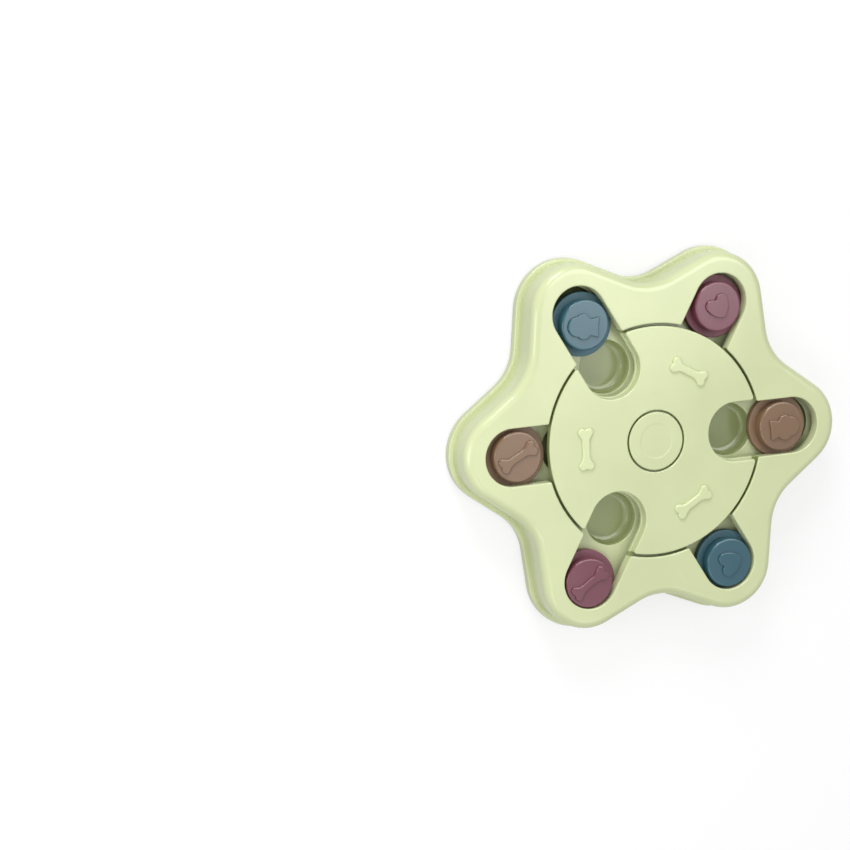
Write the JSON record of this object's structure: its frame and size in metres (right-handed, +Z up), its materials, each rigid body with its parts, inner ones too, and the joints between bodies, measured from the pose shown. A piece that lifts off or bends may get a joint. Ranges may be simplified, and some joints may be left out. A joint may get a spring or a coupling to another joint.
{
  "type": "pet puzzle toy",
  "caption": "Star-shaped treat puzzle for pets: knobs slide along radial tracks and a notched disc turns above them to hide and reveal round food cups",
  "frame": {"origin": "on the table under the toy's centre", "axes": "+Z up out of the cover, +X along the arm whose slider carries a fish in brown"},
  "size_m": [0.2536, 0.228, 0.0304],
  "materials": {
    "green_plastic": "satin moulded plastic",
    "brown_plastic": "satin moulded plastic",
    "mauve_plastic": "satin moulded plastic",
    "blue_plastic": "satin moulded plastic",
    "foot_rubber": "soft anti-slip rubber",
    "screw_steel": "zinc plated"
  },
  "bodies": {
    "base": {"base_tray": "green_plastic", "top_cover": "green_plastic", "hub_cap": "green_plastic", "hub_screw": "screw_steel", "cover_screws": "screw_steel", "rubber_foot_1": "foot_rubber", "rubber_foot_2": "foot_rubber", "rubber_foot_3": "foot_rubber", "rubber_foot_4": "foot_rubber", "rubber_foot_5": "foot_rubber", "rubber_foot_6": "foot_rubber"},
    "disc": {"turning_disc": "green_plastic"},
    "brown_fish_slider": {"slider_brown_fish": "brown_plastic"},
    "mauve_heart_slider": {"slider_mauve_heart": "mauve_plastic"},
    "blue_fish_slider": {"slider_blue_fish": "blue_plastic"},
    "brown_bone_slider": {"slider_brown_bone": "brown_plastic"},
    "mauve_bone_slider": {"slider_mauve_bone": "mauve_plastic"},
    "blue_heart_slider": {"slider_blue_heart": "blue_plastic"}
  },
  "joints": [
    {"name": "disc_turn", "type": "hinge", "parent": "base", "child": "disc", "pos_m": [0, 0, 0.0265], "axis": [0, 0, 1], "range_deg": [-360, 360]},
    {"name": "brown_fish_slide", "type": "slide", "parent": "base", "child": "brown_fish_slider", "axis": [1, 0, 0], "range_m": [-0.03438, 0.00902]},
    {"name": "mauve_heart_slide", "type": "slide", "parent": "base", "child": "mauve_heart_slider", "axis": [0.5, 0.866, 0], "range_m": [-0.00451, 0.00529]},
    {"name": "blue_fish_slide", "type": "slide", "parent": "base", "child": "blue_fish_slider", "axis": [-0.5, 0.866, 0], "range_m": [-0.03419, 0.00921]},
    {"name": "brown_bone_slide", "type": "slide", "parent": "base", "child": "brown_bone_slider", "axis": [-1, 0, 0], "range_m": [-0.0047, 0.0051]},
    {"name": "mauve_bone_slide", "type": "slide", "parent": "base", "child": "mauve_bone_slider", "axis": [-0.5, -0.866, 0], "range_m": [-0.0432, 0.0002]},
    {"name": "blue_heart_slide", "type": "slide", "parent": "base", "child": "blue_heart_slider", "axis": [0.5, -0.866, 0], "range_m": [-0.00882, 0.00098]}
  ]
}
